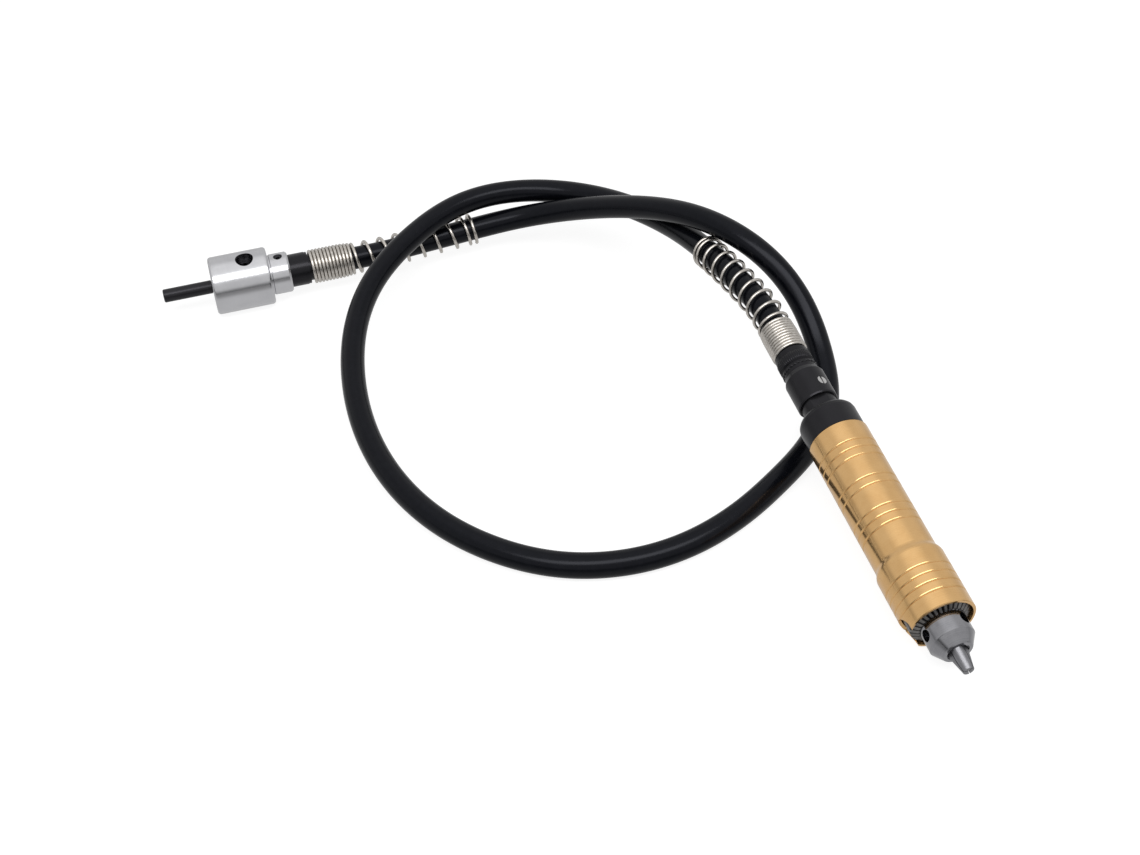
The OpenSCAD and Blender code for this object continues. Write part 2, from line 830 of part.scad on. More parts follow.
// Chuck body with three inclined jaw bores and three key holes
module chuck_body() {
    color("gray") at_chuck() difference() {
        turned([
            [0, boss_back],
            [chuck_boss_r, boss_back],
            [chuck_boss_r, 0],
            [chuck_hub_r, 0],
            [chuck_hub_r, flange_from],
            [flange_r, flange_from],
            [flange_r, flange_to],
            [waist_r, flange_to],
            [waist_r, groove_from],
            [nut_groove_r, groove_from],
            [nut_groove_r, groove_to],
            [nose_r, groove_to],
            [nose_r, nose_end - 0.1],
            [nose_r - 0.1, nose_end],
            [tip_face_r + 0.3, cone_end - 0.3],
            [tip_face_r, cone_end],
            [0, cone_end]
        ]);
        rod(bearing_bore_r, boss_back - cut, spindle_front);
        rod(chuck_bore_r, spindle_front - cut, cone_end + cut);
        rod(mouth_r, cone_end - 0.8, cone_end + cut);
        for (i = [0:2]) {
            along_jaw(i) rod(jaw_r + run_fit, -6, jaw_len + jaw_travel + 0.6);
            radial(jaw_angle + 60 + 120 * i, key_hole_at) rod(key_hole_d / 2, key_hole_floor, nose_r + cut);
        }
    }
}

// Toothed ring that turns on the chuck body and carries the split nut
module chuck_ring() {
    tooth_slope = atan(tooth_drop / (ring_r - tooth_top_r));
    tooth_middle = (ring_r + tooth_top_r) / 2;
    color("dimgray") at_chuck() difference() {
        turned([
            [0, flange_from],
            [ring_r, flange_from],
            [ring_r, ring_end - tooth_drop],
            [tooth_top_r, ring_end],
            [0, ring_end]
        ]);
        rod(ring_journal_r, flange_from - cut, groove_from);
        rod(nut_r + seat_fit, groove_from - cut, groove_to);
        rod(nose_r + run_fit, groove_to - cut, ring_end + cut);
        for (i = [0:ring_teeth - 1])
            rotate([0, 0, 360 * i / ring_teeth])
                translate([tooth_middle, 0, ring_end - tooth_drop / 2])
                    rotate([0, tooth_slope, 0])
                        rotate([45, 0, 0])
                            cube([5, tooth_cut, tooth_cut], center = true);
    }
}

// Half of the split nut whose thread drives the jaws
module chuck_nut_half(index) {
    face_gap = 0.15;
    clear = 0.25;
    function thread_r(at) = (jaw_cross - at) * tan(jaw_tilt) + jaw_r / cos(jaw_tilt) + clear;
    from = groove_from + face_gap;
    to = groove_to - face_gap;
    color("darkgray") at_chuck() rotate([0, 0, 180 * index]) intersection() {
        turned([[thread_r(from), from], [nut_r, from], [nut_r, to], [thread_r(to), to]]);
        translate([-nut_r - cut, face_gap, from - cut]) cube([2 * nut_r + 2 * cut, nut_r + cut, to - from + 2 * cut]);
    }
}

// Jaw: a round bar on its inclined axis, cut to a third of a circle where the three meet
module jaw(index) {
    face_gap = 0.15;
    reach = 40;
    apex = face_gap / sin(60);
    color("darkgray") at_chuck() intersection() {
        along_jaw(index) rod(jaw_r, -4, jaw_len);
        rotate([0, 0, jaw_angle + 120 * index]) linear_extrude(jaw_end)
            polygon([[apex, 0], [apex + reach * cos(60), reach * sin(60)], [apex + reach * cos(60), -reach * sin(60)]]);
    }
}

coupler_body();
drive_bush();
drive_shaft();
hub_screw();
neck_screw();
drive_terminal();
drive_ferrule();
drive_spring();
sheath();
sheath_liner();
flex_core();
handle_spring();
handle_ferrule();
lock_sleeve();
sleeve_screw();
rear_neck();
rear_cap();
handle_shell();
bearing_outer(rear_bearing_at);  // rear_bearing_outer
bearing_inner(rear_bearing_at);  // rear_bearing_inner
bearing_balls(rear_bearing_at);  // rear_bearing_balls
bearing_outer(front_bearing_at);  // front_bearing_outer
bearing_inner(front_bearing_at);  // front_bearing_inner
bearing_balls(front_bearing_at);  // front_bearing_balls
wave_washer();
circlip();
spindle();
core_key();
chuck_body();
chuck_ring();
chuck_nut_half(0);  // chuck_nut_half_1
chuck_nut_half(1);  // chuck_nut_half_2
jaw(0);  // jaw_1
jaw(1);  // jaw_2
jaw(2);  // jaw_3
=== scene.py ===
"""Looks of a flexible-shaft rotary tool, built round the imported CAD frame.

The CAD pieces keep their place and size. This script gives every one of them a
procedural finish, winds the two strain-relief springs from round wire, sweeps
the sheath along its route and sets the floor, lights and camera.
"""

import logging
import math
from dataclasses import dataclass
from enum import Enum
from functools import cached_property
from typing import Iterable

import bpy
import numpy as np
from mathutils import Matrix, Vector


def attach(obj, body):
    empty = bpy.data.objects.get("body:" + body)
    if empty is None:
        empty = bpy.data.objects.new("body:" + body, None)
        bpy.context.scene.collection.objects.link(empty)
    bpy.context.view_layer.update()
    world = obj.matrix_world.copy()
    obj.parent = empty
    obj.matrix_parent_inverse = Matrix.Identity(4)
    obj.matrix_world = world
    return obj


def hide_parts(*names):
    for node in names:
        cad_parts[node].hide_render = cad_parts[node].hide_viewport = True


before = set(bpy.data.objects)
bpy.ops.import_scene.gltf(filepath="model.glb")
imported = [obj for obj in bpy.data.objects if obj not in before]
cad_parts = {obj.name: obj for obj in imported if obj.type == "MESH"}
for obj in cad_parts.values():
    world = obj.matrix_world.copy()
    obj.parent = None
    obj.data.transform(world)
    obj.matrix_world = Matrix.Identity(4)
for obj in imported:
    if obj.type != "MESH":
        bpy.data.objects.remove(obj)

logging.basicConfig(level=logging.INFO, format="%(name)s: %(message)s")
LOG = logging.getLogger("flex_tool")

MM = 0.001
FLOOR_HEIGHT = 0.0

Colour = tuple[float, float, float]

# Driving sizes, in millimetres, as in the CAD source
SHEATH_D = 10.2
SHEATH_SEAT = 6.6
COUPLER_FRONT = (-110.0, 146.0, 13.0)
GRIP_LEN = 88.8
FLARE_R = 13.4
TILT = 8.8
YAW = 3.8
SHOULDER = -45.7
CHUCK_AT = GRIP_LEN - 25.0
LEAD_START = (-72.8, 146.0, 13.0)
STRAIGHT_POINTS = 4
LEAD_STEP = 14.0
TAIL_STEP = 10.4
LIE = 5.2
FREE_ROUTE = (
    (-13, 148, 13), (8, 150, 13), (31, 149, 15.5), (53, 138, 22.5), (74, 114, 36),
    (93.5, 86, 47.5), (109, 62, 48.5), (122, 45, 39.5), (129, 29, 26.5), (129.5, 12, 15),
    (126.5, -4, 9), (119, -18, 6.5), (107, -31, LIE), (91, -43, LIE), (72, -56, LIE),
    (49, -66, LIE), (24, -69, LIE), (-2, -63, LIE), (-24, -48, LIE), (-43, -26, 5.5),
    (-56, 2, 6.5), (-62, 33, 9), (-61, 65, 12.5), (-54, 95, 16.5), (-40, 120, 21),
    (-18, 139, 25), (5, 153, 27), (29, 157, 26), (54, 151, 24.5), (75, 132, 26.5),
    (88.5, 108, 29.5), (95.5, 83, 34.5), (100, 57, 38.5), (103.5, 40, 39), (106.5, 26, 38.5),
)


def unit(vectors: np.ndarray) -> np.ndarray:
    """Scale vectors to length one along their last axis."""
    return vectors / np.linalg.norm(vectors, axis=-1, keepdims=True)


def distances(path: np.ndarray) -> np.ndarray:
    """Return the distance from a path's start to each of its points."""
    steps = np.linalg.norm(np.diff(path, axis=0), axis=1)
    return np.concatenate([[0.0], np.cumsum(steps)])


@dataclass(frozen=True)
class Placement:
    """A local frame in the row frame, in millimetres.

    Attributes:
        origin: Place of the local origin.
        axes: Rows that hold the local x, y and z directions.
    """

    origin: tuple[float, float, float]
    axes: tuple[tuple[float, float, float], ...]

    def place(self, points: np.ndarray) -> np.ndarray:
        """Return local points in the row frame.

        Args:
            points: Array whose last axis holds local x, y and z.

        Returns:
            The same points in the row frame, in millimetres.
        """
        return np.asarray(self.origin) + np.asarray(points) @ np.asarray(self.axes)

    def along(self, distance: float) -> "Placement":
        """Return this frame moved along its own z axis."""
        return Placement(tuple(self.place(np.array([0.0, 0.0, distance]))), self.axes)


def handle_placement() -> Placement:
    """Return the handpiece's frame: origin at the grip's back edge, z to the nose."""
    tilt, yaw = math.radians(TILT), math.radians(YAW)
    nose = np.array([
        math.sin(yaw) * math.cos(tilt),
        -math.cos(yaw) * math.cos(tilt),
        -math.sin(tilt),
    ])
    across = np.array([math.cos(yaw), math.sin(yaw), 0.0])
    height = GRIP_LEN * math.sin(tilt) + FLARE_R * math.cos(tilt)
    rows = (across, np.cross(nose, across), nose)
    return Placement((112.0, -50.5, height), tuple(tuple(row) for row in rows))


COUPLER = Placement(COUPLER_FRONT, ((0.0, 0.0, 1.0), (0.0, -1.0, 0.0), (1.0, 0.0, 0.0)))
HANDLE = handle_placement()
CHUCK = HANDLE.along(CHUCK_AT)


# ---------------------------------------------------------------- shaders


class Wire:
    """An output socket that takes part in arithmetic."""

    def __init__(self, shader: "Graph", socket: bpy.types.NodeSocket) -> None:
        self.shader = shader
        self.socket = socket

    def __add__(self, other: "Wire | float") -> "Wire":
        return self.shader.math("ADD", self, other)

    __radd__ = __add__

    def __sub__(self, other: "Wire | float") -> "Wire":
        return self.shader.math("SUBTRACT", self, other)

    def __rsub__(self, other: float) -> "Wire":
        return self.shader.math("SUBTRACT", other, self)

    def __mul__(self, other: "Wire | float") -> "Wire":
        return self.shader.math("MULTIPLY", self, other)

    __rmul__ = __mul__

    def sine(self) -> "Wire":
        """Return the sine of the value in radians."""
        return self.shader.math("SINE", self)


class Graph:
    """A node tree that is built one node at a time."""

    def __init__(self, owner: bpy.types.Material | bpy.types.World) -> None:
        owner.use_nodes = True
        self.tree = owner.node_tree
        self.tree.nodes.clear()

    def node(self, kind: str, inputs: dict | None = None, **settings: object) -> bpy.types.Node:
        """Add a node, set its options and feed its inputs.

        Args:
            kind: Blender's node type, without the ShaderNode prefix.
            inputs: Values or wires by socket name or index.
            **settings: Attributes of the node.

        Returns:
            The new node.
        """
        made = self.tree.nodes.new("ShaderNode" + kind)
        for key, value in settings.items():
            setattr(made, key, value)
        for key, value in (inputs or {}).items():
            socket = made.inputs[key]
            if isinstance(value, Wire):
                self.tree.links.new(value.socket, socket)
            else:
                socket.default_value = value
        return made

    def wire(self, made: bpy.types.Node, output: str | int = 0) -> Wire:
        """Return one output of a node."""
        return Wire(self, made.outputs[output])

    def math(self, operation: str, *values: "Wire | float") -> Wire:
        """Return the result of a Math node."""
        return self.wire(self.node("Math", dict(enumerate(values)), operation=operation))

    def vector(self, operation: str, *values: object, output: str = "Vector") -> Wire:
        """Return the result of a Vector Math node."""
        made = self.node("VectorMath", dict(enumerate(values)), operation=operation)
        return self.wire(made, output)

    def maximum(self, first: "Wire | float", second: "Wire | float") -> Wire:
        """Return the larger of two values."""
        return self.math("MAXIMUM", first, second)

    def rays(self, *kinds: str) -> Wire:
        """Return one where the ray is of any of the kinds, such as Camera."""
        path = self.node("LightPath")
        share = self.wire(path, f"Is {kinds[0]} Ray")
        for kind in kinds[1:]:
            share = self.maximum(share, self.wire(path, f"Is {kind} Ray"))
        return share

    def combine(self, x: "Wire | float", y: "Wire | float", z: "Wire | float") -> Wire:
        """Return a vector of three values."""
        return self.wire(self.node("CombineXYZ", {0: x, 1: y, 2: z}))

    def ramp(
        self,
        value: Wire,
        low: float,
        high: float,
        to_low: "Wire | float" = 0.0,
        to_high: "Wire | float" = 1.0,
    ) -> Wire:
        """Return the value carried smoothly from one range to another."""
        inputs = {
            "Value": value,
            "From Min": low,
            "From Max": high,
            "To Min": to_low,
            "To Max": to_high,
        }
        return self.wire(self.node("MapRange", inputs, interpolation_type="SMOOTHSTEP"), "Result")


class Shader(Graph):
    """Builds one node-based material."""

    FACET_LEAN = 0.09

    def __init__(self, name: str) -> None:
        self.material = bpy.data.materials.new(name)
        super().__init__(self.material)

    def object_mm(self) -> Wire:
        """Return the point on the object, in millimetres."""
        point = self.wire(self.node("TexCoord"), "Object")
        return self.vector("MULTIPLY", point, (1 / MM, 1 / MM, 1 / MM))

    def local(self, placement: Placement) -> tuple[Wire, Wire, Wire]:
        """Return the point's local x, y and z in a placement, in millimetres."""
        moved = self.vector("SUBTRACT", self.object_mm(), placement.origin)
        x, y, z = (
            self.vector("DOT_PRODUCT", moved, axis, output="Value") for axis in placement.axes
        )
        return x, y, z

    def attribute(self, name: str) -> Wire:
        """Return a value stored on the mesh's points."""
        return self.wire(self.node("Attribute", attribute_name=name), "Fac")

    def noise(self, at: Wire, scale: float, detail: float = 3.0, rough: float = 0.5) -> Wire:
        """Return three-dimensional noise between zero and one."""
        inputs = {"Vector": at, "Scale": scale, "Detail": detail, "Roughness": rough}
        return self.wire(self.node("TexNoise", inputs), "Fac")

    def noise_along(self, at: Wire, scale: float, detail: float = 2.0) -> Wire:
        """Return one-dimensional noise between zero and one."""
        inputs = {"W": at, "Scale": scale, "Detail": detail}
        return self.wire(self.node("TexNoise", inputs, noise_dimensions="1D"), "Fac")

    def blend(self, share: Wire, first: Wire | Colour, second: Colour) -> Wire:
        """Return a mix of a colour, which may be a wire, and a plain one."""
        first = first if isinstance(first, Wire) else (*first, 1.0)
        made = self.node("Mix", {0: share, 6: first, 7: (*second, 1.0)}, data_type="RGBA")
        return self.wire(made, 2)

    def bump(
        self, height: Wire, strength: float, depth_mm: float, normal: Wire | None = None
    ) -> Wire:
        """Return a normal bent by a height."""
        inputs = {"Height": height, "Strength": strength, "Distance": depth_mm * MM}
        if normal is not None:
            inputs["Normal"] = normal
        return self.wire(self.node("Bump", inputs), "Normal")

    def scaled(self, vector: Wire | Colour, scale: Wire) -> Wire:
        """Return a vector made longer or shorter."""
        return self.wire(self.node("VectorMath", {0: vector, "Scale": scale}, operation="SCALE"))

    def turn_vector(self, vector: Wire, source: str, target: str) -> Wire:
        """Return a normal carried from one space to another."""
        settings = {"vector_type": "NORMAL", "convert_from": source, "convert_to": target}
        return self.wire(self.node("VectorTransform", {0: vector}, **settings))

    def lathe_normal(self, placement: Placement, lean_along: Wire) -> Wire:
        """Return the normal of a round, turned body about a placement's z axis.

        Args:
            placement: Frame whose z axis is the body's own axis.
            lean_along: How far the tool lines lean the normal along the axis.

        Returns:
            The mesh's normal without the small lean that its flat facets give
            it round the axis. Faces that lean further, such as slots, keep theirs.
        """
        moved = self.vector("SUBTRACT", self.object_mm(), placement.origin)
        sideways = self.vector("NORMALIZE", self.vector("CROSS_PRODUCT", placement.axes[2], moved))
        normal = self.turn_vector(self.wire(self.node("NewGeometry"), "Normal"), "WORLD", "OBJECT")
        lean = self.vector("DOT_PRODUCT", normal, sideways, output="Value")
        small = self.math("LESS_THAN", self.math("ABSOLUTE", lean), self.FACET_LEAN)
        level = self.vector("SUBTRACT", normal, self.scaled(sideways, lean * small))
        along = self.scaled(placement.axes[2], lean_along)
        turned = self.vector("NORMALIZE", self.vector("ADD", level, along))
        return self.turn_vector(turned, "OBJECT", "WORLD")

    def finish(self, **inputs: object) -> bpy.types.Material:
        """Close the material with a Principled BSDF.

        Args:
            **inputs: Socket values by name, with underscores for spaces.

        Returns:
            The finished material.
        """
        named = {key.replace("_", " "): value for key, value in inputs.items()}
        surface = self.wire(self.node("BsdfPrincipled", named))
        self.node("OutputMaterial", {"Surface": surface})
        return self.material


class Lay(Enum):
    """The way a metal surface was last worked."""

    TURNED = "turned"
    BLASTED = "blasted"
    GROUND = "ground"


# A rounded groove edge: its width, its flat middle and how far it leans
ARRIS_W = 0.5
ARRIS_FLAT = 0.1
ARRIS_LEAN = 0.32
# Noise scales, per millimetre, of the dull patches and of the grain
PATCH_SCALE = 0.16
GRAIN_SCALE = 6.0
BUMP_STRENGTH = 0.6
# Scale of a wave texture whose bands lie about a millimetre apart
WAVE_SCALE = 0.32
# Painted shade for the gaps between the chuck ring's teeth
TOOTH_GAP_SHADE = (0.028, 0.027, 0.027)
BLUING = (0.93, 0.91, 1.0)
WHITE = (1.0, 1.0, 1.0)


@dataclass(frozen=True)
class Metal:
    """A bare, anodised or blackened metal surface.

    Attributes:
        name: Material name.
        placement: Frame whose z axis is the piece's own axis.
        colour: Base colour where the surface is clean.
        shade: Base colour in the duller patches.
        metallic: Metallic value.
        roughness: Middle roughness.
        lay: How the surface was worked.
        line_mm: Spacing of the tool lines.
        line_depth_mm: Depth of the tool lines.
        line_lean: Range over which the tool lines lean the surface along the axis.
        specular: Specular level where the surface isn't bare metal.
        tint: Tint of the reflections.
        arrises: Places along the axis where a groove's edge is rounded toward
            the nose and catches the light.
        teeth: Teeth round the piece, with painted shade darkening the gaps between them.
    """

    name: str
    placement: Placement
    colour: Colour
    shade: Colour
    metallic: float = 1.0
    roughness: float = 0.3
    lay: Lay = Lay.TURNED
    line_mm: float = 0.25
    line_depth_mm: float = 0.004
    line_lean: float = 0.1
    specular: float = 0.5
    tint: Colour = WHITE
    arrises: tuple[float, ...] = ()
    teeth: int = 0

    def build(self) -> bpy.types.Material:
        """Return the material of this finish."""
        shader = Shader(self.name)
        x, y, z = shader.local(self.placement)
        point = shader.combine(x, y, z)
        around = shader.math("ARCTAN2", y, x)
        patches = shader.noise(point, PATCH_SCALE, detail=4.0, rough=0.6)
        grain = shader.noise(point, GRAIN_SCALE, detail=2.0, rough=0.7)
        if self.lay is Lay.BLASTED:
            lines = grain
        elif self.lay is Lay.GROUND:
            lines = shader.noise(shader.combine(x * 3.0, y * 3.0, z * 0.25), 2.0, detail=3.0)
        else:
            lines = shader.noise_along(z, 1.0 / self.line_mm, detail=3.0)
        share = shader.ramp(patches * 0.7 + lines * 0.3, 0.35, 0.65)
        colour = shader.blend(share, self.shade, self.colour)
        if self.teeth:
            # Painted shade: darken the gaps between the teeth
            gap_shade = shader.ramp((around * float(self.teeth) + math.pi / 2).sine(), 0.1, 0.6)
            colour = shader.blend(gap_shade, colour, TOOTH_GAP_SHADE)
        height = lines * 0.8 + grain * 0.2
        normal = self._worked_normal(shader, lines, z)
        return shader.finish(
            Base_Color=colour,
            Metallic=self.metallic,
            Roughness=self.roughness * (0.82 + patches * 0.2 + lines * 0.16),
            Specular_IOR_Level=self.specular,
            Specular_Tint=(*self.tint, 1.0),
            Normal=shader.bump(height, BUMP_STRENGTH, self.line_depth_mm, normal),
        )

    def _worked_normal(self, shader: Shader, lines: Wire, along: Wire) -> Wire | None:
        """Return the normal of a turned body, or none for a ground one."""
        if self.lay is Lay.GROUND:
            return None
        lean = (lines - 0.5) * self.line_lean
        for place in self.arrises:
            off = shader.math("ABSOLUTE", along - place)
            lean = lean + shader.ramp(off, ARRIS_FLAT, ARRIS_W / 2, ARRIS_LEAN, 0.0)
        return shader.lathe_normal(self.placement, lean)


@dataclass(frozen=True)
class WireSteel:
    """Drawn and nickelled spring wire, with faint die lines along it."""

    name: str
    colour: Colour = (0.63, 0.60, 0.56)
    shade: Colour = (0.47, 0.44, 0.405)

    def build(self) -> bpy.types.Material:
        """Return the material of this finish."""
        shader = Shader(self.name)
        run = shader.attribute("run")
        around = shader.attribute("around")
        at = shader.combine(run * 0.05, around * 3.0, 0.0)
        drawn = shader.noise(at, 3.0, detail=3.0)
        spots = shader.noise(shader.object_mm(), 0.9, detail=4.0, rough=0.65)
        return shader.finish(
            Base_Color=shader.blend(shader.ramp(spots, 0.35, 0.7), self.shade, self.colour),
            Metallic=1.0,
            Roughness=0.20 + spots * 0.12,
            Normal=shader.bump(drawn, 0.3, 0.01),
        )


@dataclass(frozen=True)
class SheathRubber:
    """Extruded black sheath with a satin skin and faint draw marks."""

    name: str
    colour: Colour = (0.0030, 0.0034, 0.0052)
    shade: Colour = (0.0055, 0.0060, 0.0085)

    def build(self) -> bpy.types.Material:
        """Return the material of this finish."""
        shader = Shader(self.name)
        run = shader.attribute("run")
        around = shader.attribute("around")
        point = shader.object_mm()
        marks = shader.noise(shader.combine(run * 0.02, around * 5.0, 0.0), 2.2, detail=3.0)
        dust = shader.noise(point, 0.35, detail=6.0, rough=0.7)
        skin = shader.noise(point, 2.2, detail=3.0)
        return shader.finish(
            Base_Color=shader.blend(shader.ramp(dust, 0.4, 0.75), self.colour, self.shade),
            Roughness=0.13 + marks * 0.12 + dust * 0.06,
            Specular_IOR_Level=0.15,
            Specular_Tint=(0.88, 0.90, 1.0, 1.0),
            Normal=shader.bump(skin * 0.6 + marks * 0.4, 0.35, 0.05),
        )


@dataclass(frozen=True)
class WoundSteel:
    """Steel strands laid side by side round a core or liner."""

    name: str
    pitch_mm: float = 1.2
    dark: Colour = (0.28, 0.28, 0.29)
    bright: Colour = (0.55, 0.55, 0.56)

    def build(self) -> bpy.types.Material:
        """Return the material of this finish."""
        shader = Shader(self.name)
        scale = WAVE_SCALE / self.pitch_mm
        inputs = {"Vector": shader.object_mm(), "Scale": scale, "Distortion": 1.5}
        strands = shader.node("TexWave", inputs, bands_direction="DIAGONAL")
        height = shader.wire(strands, "Fac")
        return shader.finish(
            # Painted shade: the base colour is darker in the grooves between the strands
            Base_Color=shader.blend(height, self.dark, self.bright),
            Metallic=1.0,
            Roughness=0.42 - height * 0.12,
            Normal=shader.bump(height, 0.6, 0.15),
        )


Finish = Metal | WireSteel | SheathRubber | WoundSteel

# Grooves on the grip and the flare: the middle of each group's first groove and
# the count, then the place of every groove's rounded edge nearer the cap
GROOVE_GROUPS = ((9.6, 3), (27.3, 2), (41.3, 3), (GRIP_LEN - 17.9, 4))
GROOVE_PITCH = 3.8
GROOVE_TO_EDGE = 0.45
GROOVES = tuple(
    first + number * GROOVE_PITCH - GROOVE_TO_EDGE
    for first, count in GROOVE_GROUPS
    for number in range(count)
)

SATIN_ALUMINIUM = Metal(
    "satin_aluminium", COUPLER, (0.56, 0.56, 0.578), (0.52, 0.52, 0.538),
    roughness=0.20, line_mm=0.35, line_depth_mm=0.003, line_lean=0.06,
)
BLACK_SHAFT = Metal(
    "black_shaft", COUPLER, (0.007, 0.007, 0.008), (0.012, 0.012, 0.0135),
    metallic=0.0, roughness=0.32, line_mm=0.3, specular=0.3, tint=BLUING,
)
BLACK_FERRULE_DRIVE = Metal(
    "black_ferrule_drive", COUPLER, (0.004, 0.004, 0.0048), (0.007, 0.007, 0.008),
    metallic=0.0, roughness=0.26, line_mm=0.3, specular=0.24, tint=BLUING,
)
BLACK_FERRULE_HANDLE = Metal(
    "black_ferrule_handle", HANDLE, (0.005, 0.005, 0.006), (0.008, 0.008, 0.009),
    metallic=0.0, roughness=0.28, line_mm=0.3, specular=0.24, tint=BLUING,
)
BLACK_CAP = Metal(
    "black_cap", HANDLE, (0.006, 0.006, 0.007), (0.009, 0.009, 0.010),
    metallic=0.0, roughness=0.30, lay=Lay.BLASTED, specular=0.27, line_lean=0.03, tint=BLUING,
)
GOLD_ANODISED = Metal(
    "gold_anodised", HANDLE, (0.74, 0.465, 0.205), (0.69, 0.42, 0.175),
    metallic=0.86, roughness=0.18, line_mm=0.3, line_depth_mm=0.0015, line_lean=0.06,
    arrises=GROOVES,
)
CHUCK_STEEL = Metal(
    "chuck_steel", CHUCK, (0.30, 0.30, 0.315), (0.24, 0.24, 0.255),
    roughness=0.15, line_mm=0.3, line_depth_mm=0.003, line_lean=0.10,
)
RING_STEEL = Metal(
    "ring_steel", CHUCK, (0.17, 0.165, 0.16), (0.12, 0.115, 0.11),
    roughness=0.36, line_mm=0.3, line_depth_mm=0.004, teeth=30,
)
JAW_STEEL = Metal(
    "jaw_steel", CHUCK, (0.24, 0.24, 0.253), (0.20, 0.20, 0.212),
    roughness=0.42, lay=Lay.GROUND,
)
SCREW_STEEL = Metal(
    "screw_steel", HANDLE, (0.62, 0.61, 0.60), (0.48, 0.48, 0.48),
    roughness=0.3, lay=Lay.GROUND,
)
DARK_SCREW = Metal(
    "dark_screw", COUPLER, (0.06, 0.06, 0.065), (0.03, 0.03, 0.033),
    roughness=0.42, lay=Lay.GROUND,
)
BEARING_STEEL = Metal(
    "bearing_steel", HANDLE, (0.68, 0.68, 0.70), (0.58, 0.58, 0.60), roughness=0.14,
)
BRONZE = Metal(
    "bronze", COUPLER, (0.58, 0.38, 0.18), (0.46, 0.29, 0.13), roughness=0.36,
)
CORE_STEEL = WoundSteel("core_steel")
SPRING_STEEL = WireSteel("spring_steel")
RUBBER = SheathRubber("sheath_rubber")

NODE_FINISHES: dict[str, Finish] = {
    "coupler_body": SATIN_ALUMINIUM,
    "drive_bush": BRONZE,
    "drive_shaft": BLACK_SHAFT,
    "hub_screw": DARK_SCREW,
    "neck_screw": DARK_SCREW,
    "drive_terminal": CORE_STEEL,
    "drive_ferrule": BLACK_FERRULE_DRIVE,
    "sheath_liner": CORE_STEEL,
    "flex_core": CORE_STEEL,
    "handle_ferrule": BLACK_FERRULE_HANDLE,
    "lock_sleeve": BLACK_CAP,
    "sleeve_screw": SCREW_STEEL,
    "rear_neck": BLACK_CAP,
    "rear_cap": BLACK_CAP,
    "handle_shell": GOLD_ANODISED,
    "wave_washer": SCREW_STEEL,
    "circlip": BLACK_CAP,
    "spindle": JAW_STEEL,
    "core_key": CORE_STEEL,
    "chuck_body": CHUCK_STEEL,
    "chuck_ring": RING_STEEL,
    "chuck_nut_half_1": JAW_STEEL,
    "chuck_nut_half_2": JAW_STEEL,
    "jaw_1": JAW_STEEL,
    "jaw_2": JAW_STEEL,
    "jaw_3": JAW_STEEL,
    **{
        f"{end}_bearing_{part}": BEARING_STEEL
        for end in ("rear", "front")
        for part in ("outer", "inner", "balls")
    },
}


class Wardrobe:
    """Builds each finish once and hands out its material."""

    def __init__(self) -> None:
        self.built: dict[str, bpy.types.Material] = {}

    def material(self, finish: Finish) -> bpy.types.Material:
        """Return the material of a finish, building it at first use."""
        if finish.name not in self.built:
            self.built[finish.name] = finish.build()
        return self.built[finish.name]

    def dress(self, node: bpy.types.Object, finish: Finish) -> None:
        """Give a CAD node one finish."""
        node.data.materials.clear()
        node.data.materials.append(self.material(finish))


# ---------------------------------------------------------------- meshes


@dataclass
class Surface:
    """A grid of points that wraps round its second axis.

    Attributes:
        points: Array of rows, columns and coordinates, in millimetres.
        run: Distance along the rows, one per row.
        ring: Whether the last row joins the first; otherwise each of them
            gets a flat cap.
    """

    points: np.ndarray
    run: np.ndarray
    ring: bool = False

    @property
    def faces(self) -> np.ndarray:
        """Return the quads between neighbouring rows."""
        rows, columns = self.points.shape[:2]
        spans = rows if self.ring else rows - 1
        row, column = np.meshgrid(np.arange(spans), np.arange(columns), indexing="ij")
        next_row, next_column = (row + 1) % rows, (column + 1) % columns
        corners = [
            row * columns + column,
            row * columns + next_column,
            next_row * columns + next_column,
            next_row * columns + column,
        ]
        return np.stack(corners, axis=-1).reshape(-1, 4)

    def to_object(self, name: str) -> bpy.types.Object:
        """Return a Blender object of this surface, in metres."""
        rows, columns = self.points.shape[:2]
        quads = self.faces
        loops = [quads.ravel()]
        sizes = [np.full(len(quads), 4)]
        if not self.ring:
            loops += [np.arange(columns)[::-1], (rows - 1) * columns + np.arange(columns)]
            sizes += [np.array([columns, columns])]
        loop_points = np.concatenate(loops)
        totals = np.concatenate(sizes)
        mesh = bpy.data.meshes.new(name)
        mesh.vertices.add(rows * columns)
        mesh.vertices.foreach_set("co", (self.points * MM).ravel())
        mesh.loops.add(len(loop_points))
        mesh.loops.foreach_set("vertex_index", loop_points)
        mesh.polygons.add(len(totals))
        mesh.polygons.foreach_set("loop_start", np.concatenate([[0], np.cumsum(totals)[:-1]]))
        mesh.polygons.foreach_set("use_smooth", totals == 4)
        mesh.update(calc_edges=True)
        mesh.validate()
        runs = np.repeat(self.run, columns)
        angles = np.tile(np.linspace(0.0, 1.0, columns, endpoint=False), rows)
        for key, values in (("run", runs), ("around", angles)):
            layer = mesh.attributes.new(key, "FLOAT", "POINT")
            layer.data.foreach_set("value", values.astype(np.float32))
        made = bpy.data.objects.new(name, mesh)
        bpy.context.scene.collection.objects.link(made)
        LOG.info("%s: %d points, %d faces", name, rows * columns, len(totals))
        return made


